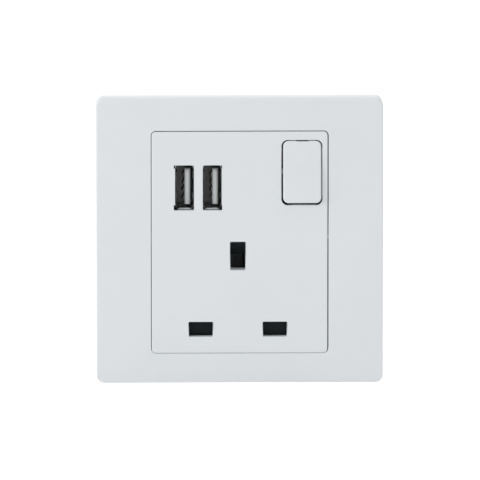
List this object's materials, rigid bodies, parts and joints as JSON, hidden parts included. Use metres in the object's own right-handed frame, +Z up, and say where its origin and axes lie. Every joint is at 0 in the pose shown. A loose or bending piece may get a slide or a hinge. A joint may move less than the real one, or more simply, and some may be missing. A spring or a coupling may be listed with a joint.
{
  "type": "switched wall socket with usb ports",
  "caption": "Square white wall socket with a rocker switch, shuttered slots for a plug with flat pins, and upright charging ports beside the switch.",
  "frame": {"origin": "centre of the plate on the wall plane, midway between the two wall screws", "axes": "+X to the right and +Z up as seen on the wall, +Y into the wall"},
  "size_m": [0.086, 0.0366, 0.086],
  "materials": {
    "frame_white": "satin moulded white",
    "face_white": "satin moulded white",
    "rocker_white": "satin moulded white",
    "tongue_plastic": "moulded off-white",
    "shutter_plastic": "moulded dark grey",
    "housing_plastic": "moulded black",
    "cover_plastic": "moulded black",
    "plunger_plastic": "moulded natural",
    "yoke_steel": "bright zinc plate",
    "shell_steel": "nickel plate",
    "screw_steel": "zinc plate",
    "spring_steel": "drawn wire",
    "brass": "rolled strip",
    "terminal_brass": "machined",
    "contact_silver": "silver rivet",
    "contact_plate": "bright plate",
    "earth_strip": "dull tin plate",
    "board_green": "solder mask",
    "ferrite": "sintered ferrite",
    "winding_tape": "yellow tape",
    "can_aluminium": "drawn can",
    "chip_plastic": "moulded black",
    "lead_live": "brown sleeve",
    "lead_neutral": "blue sleeve"
  },
  "bodies": {
    "base": {"front_frame": "frame_white", "socket_face": "face_white", "shutter_spring": "spring_steel", "contact_cover": "cover_plastic", "usb_shell_left": "shell_steel", "usb_shell_right": "shell_steel", "usb_tongue_left": "tongue_plastic", "usb_tongue_right": "tongue_plastic", "usb_contacts_left": "contact_plate", "usb_contacts_right": "contact_plate", "mounting_yoke": "yoke_steel", "back_housing": "housing_plastic", "assembly_screws": "screw_steel", "live_contact": "brass", "neutral_contact": "brass", "earth_contact": "earth_strip", "contact_bracket": "brass", "fixed_contact_tip": "contact_silver", "live_terminal": "terminal_brass", "neutral_terminal": "terminal_brass", "earth_terminal": "terminal_brass", "terminal_screws": "screw_steel", "circuit_board": "board_green", "transformer_core": "ferrite", "transformer_winding": "winding_tape", "input_capacitor": "can_aluminium", "output_capacitor": "can_aluminium", "rectifier": "chip_plastic", "controller": "chip_plastic", "live_lead": "lead_live", "neutral_lead": "lead_neutral"},
    "rocker": {"rocker": "rocker_white", "rocker_spring": "spring_steel", "rocker_plunger": "plunger_plastic"},
    "lever": {"moving_contact": "brass", "moving_contact_tip": "contact_silver"},
    "shutter": {"shutter": "shutter_plastic"}
  },
  "joints": [
    {"name": "rocker_tilt", "type": "hinge", "parent": "base", "child": "rocker", "pos_m": [0.01863, -0.0067, 0.02076], "axis": [1, 0, 0], "range_deg": [0, 9]},
    {"name": "lever_rock", "type": "hinge", "parent": "base", "child": "lever", "pos_m": [0.01863, 0.007, 0.02076], "axis": [1, 0, 0], "range_deg": [-14, 0]},
    {"name": "shutter_slide", "type": "slide", "parent": "base", "child": "shutter", "axis": [0, 0, 1], "range_m": [0, 0.0052], "stiffness_N_per_m": 200, "springref_m": -0.006, "deforming": ["shutter_spring"]}
  ],
  "couplings": [
    {"joint": "lever_rock", "follows": "rocker_tilt", "ratio": -1.5555}
  ]
}
